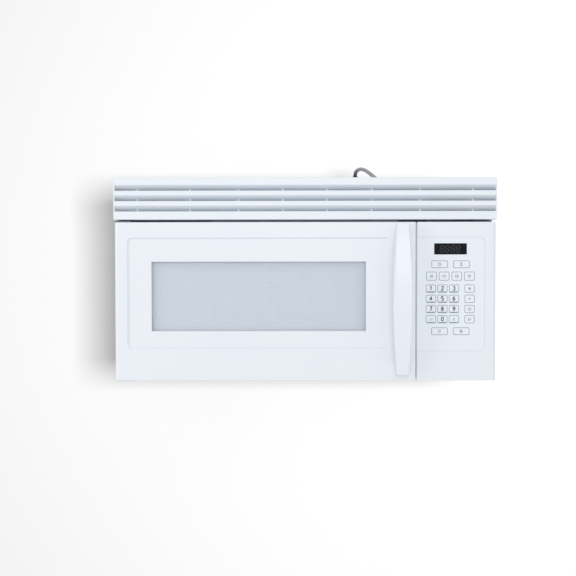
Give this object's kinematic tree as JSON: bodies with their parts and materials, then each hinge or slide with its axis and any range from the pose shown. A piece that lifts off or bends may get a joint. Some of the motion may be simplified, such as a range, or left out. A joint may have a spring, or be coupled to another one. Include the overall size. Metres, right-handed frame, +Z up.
{
  "type": "over-the-range microwave oven",
  "caption": "Wall-hung microwave oven with a full-width louvred vent grille, a side-hinged door with a window and a bowed upright handle, and a keypad column at the right.",
  "frame": {"origin": "centre of the bounding box in X and Y, in the plane of the base pan's underside; the oven stands on its base", "axes": "+X to the right of someone facing the door, +Y into the wall behind the oven, +Z up"},
  "size_m": [0.759, 0.4375, 0.4476],
  "materials": {
    "case_paint": "semi-gloss white enamel",
    "zinc_steel": "galvanised sheet, dull",
    "cavity_enamel": "light grey baked paint",
    "mica": "pearly mica sheet",
    "grille_plastic": "white, fine satin",
    "plated_screw": "bright zinc",
    "filter_plastic": "black plastic cells with charcoal",
    "front_plastic": "white, low gloss",
    "keypad_film": "printed film, satin",
    "smoked_lens": "smoked clear plastic",
    "dark_plastic": "black",
    "circuit_board": "green laminate",
    "clear_pane": "clear tempered glass",
    "screen_steel": "light painted steel",
    "grey_plastic": "light grey moulding",
    "clear_film": "clear film",
    "handle_plastic": "white, smooth gloss",
    "spring_steel": "spring wire",
    "magnetron_metal": "aluminium fins and copper anode",
    "laminated_iron": "varnished laminations",
    "winding_wire": "enamelled copper wire",
    "can_metal": "drawn can",
    "fan_plastic": "dark moulding",
    "tray_glass": "clear pressed glass",
    "ring_plastic": "natural white",
    "lamp_glass": "clear bulb",
    "filter_aluminium": "folded aluminium mesh",
    "lens_plastic": "frosted plastic",
    "dark_rubber": "black moulded",
    "cord_rubber": "grey jacket",
    "tie_plastic": "black strap"
  },
  "bodies": {
    "cabinet": {"outer_case": "case_paint", "exhaust_cover": "zinc_steel", "rear_panel": "zinc_steel", "base_pan": "case_paint", "front_plate": "cavity_enamel", "cavity_liner": "cavity_enamel", "waveguide": "zinc_steel", "waveguide_cover": "mica", "vent_grille": "grille_plastic", "case_screws": "plated_screw", "charcoal_filter": "filter_plastic", "control_housing": "front_plastic", "keypad_membrane": "keypad_film", "display_lens": "smoked_lens", "display_module": "dark_plastic", "control_board": "circuit_board", "hinge_bracket_upper": "zinc_steel", "hinge_bracket_lower": "zinc_steel", "latch_board": "grey_plastic", "interlock_switches": "dark_plastic", "component_shelf": "zinc_steel", "magnetron_yoke": "zinc_steel", "magnetron_core": "magnetron_metal", "transformer_core": "laminated_iron", "transformer_windings": "winding_wire", "hv_capacitor": "can_metal", "fan_shroud": "dark_plastic", "fan_motor": "laminated_iron", "blower_housing_right": "zinc_steel", "blower_housing_left": "zinc_steel", "blower_motor": "laminated_iron", "turntable_motor": "zinc_steel", "lamp_bulbs": "lamp_glass", "line_filter_board": "circuit_board", "cavity_thermostat": "dark_plastic", "strain_relief": "dark_rubber", "cord_coil": "cord_rubber", "cord_run": "cord_rubber", "cord_tie": "tie_plastic", "power_plug": "cord_rubber"},
    "door": {"door_frame": "front_plastic", "door_window": "clear_pane", "door_screen": "screen_steel", "choke_cover": "grey_plastic", "door_inner_window": "clear_film", "door_handle": "handle_plastic", "handle_screws": "plated_screw", "latch_spring": "spring_steel"},
    "latch": {"latch_hooks": "grey_plastic"},
    "turntable": {"turntable_coupler": "grey_plastic", "turntable_tray": "tray_glass"},
    "roller_ring": {"roller_ring": "ring_plastic"},
    "roller_1": {"roller_1": "ring_plastic"},
    "roller_2": {"roller_2": "ring_plastic"},
    "roller_3": {"roller_3": "ring_plastic"},
    "vent_blower": {"blower_wheels": "fan_plastic"},
    "cooling_fan": {"cooling_fan": "fan_plastic"},
    "grease_filter_left": {"grease_filter_left": "filter_aluminium"},
    "grease_filter_right": {"grease_filter_right": "filter_aluminium"},
    "lamp_cover": {"lamp_cover": "lens_plastic"}
  },
  "joints": [
    {"name": "door_hinge", "type": "hinge", "parent": "cabinet", "child": "door", "pos_m": [-0.37, -0.16275, 0.16], "axis": [0, 0, -1], "range_deg": [0, 100]},
    {"name": "latch_lift", "type": "slide", "parent": "door", "child": "latch", "axis": [0, 0, 1], "range_m": [0, 0.0045], "stiffness_N_per_m": 900, "springref_m": -0.004, "deforming": ["latch_spring"]},
    {"name": "turntable_spin", "type": "hinge", "parent": "cabinet", "child": "turntable", "pos_m": [-0.0825, 0.02675, 0.058], "axis": [0, 0, 1], "continuous": true},
    {"name": "roller_ring_spin", "type": "hinge", "parent": "cabinet", "child": "roller_ring", "pos_m": [-0.0825, 0.02675, 0.05], "axis": [0, 0, 1], "continuous": true},
    {"name": "roller_1_spin", "type": "hinge", "parent": "roller_ring", "child": "roller_1", "pos_m": [0.0115, 0.02675, 0.05], "axis": [1, 0, 0], "continuous": true},
    {"name": "roller_2_spin", "type": "hinge", "parent": "roller_ring", "child": "roller_2", "pos_m": [-0.1295, 0.10816, 0.05], "axis": [-0.5, 0.866, 0], "continuous": true},
    {"name": "roller_3_spin", "type": "hinge", "parent": "roller_ring", "child": "roller_3", "pos_m": [-0.1295, -0.05466, 0.05], "axis": [-0.5, -0.866, 0], "continuous": true},
    {"name": "vent_blower_spin", "type": "hinge", "parent": "cabinet", "child": "vent_blower", "pos_m": [0, 0.14675, 0.3385], "axis": [1, 0, 0], "continuous": true},
    {"name": "cooling_fan_spin", "type": "hinge", "parent": "cabinet", "child": "cooling_fan", "pos_m": [0.27725, 0.15925, 0.14], "axis": [0, 1, 0], "continuous": true},
    {"name": "grease_filter_left_swing", "type": "hinge", "parent": "cabinet", "child": "grease_filter_left", "pos_m": [-0.19, 0.16675, 0.00115], "axis": [1, 0, 0], "range_deg": [0, 60]},
    {"name": "grease_filter_right_swing", "type": "hinge", "parent": "cabinet", "child": "grease_filter_right", "pos_m": [0.19, 0.16675, 0.00115], "axis": [1, 0, 0], "range_deg": [0, 60]},
    {"name": "lamp_cover_swing", "type": "hinge", "parent": "cabinet", "child": "lamp_cover", "pos_m": [0, -0.03725, 0.00115], "axis": [1, 0, 0], "range_deg": [0, 60]}
  ],
  "couplings": [
    {"joint": "roller_ring_spin", "follows": "turntable_spin", "ratio": 0.5},
    {"joint": "roller_1_spin", "follows": "turntable_spin", "ratio": -5.875},
    {"joint": "roller_2_spin", "follows": "turntable_spin", "ratio": -5.875},
    {"joint": "roller_3_spin", "follows": "turntable_spin", "ratio": -5.875}
  ]
}
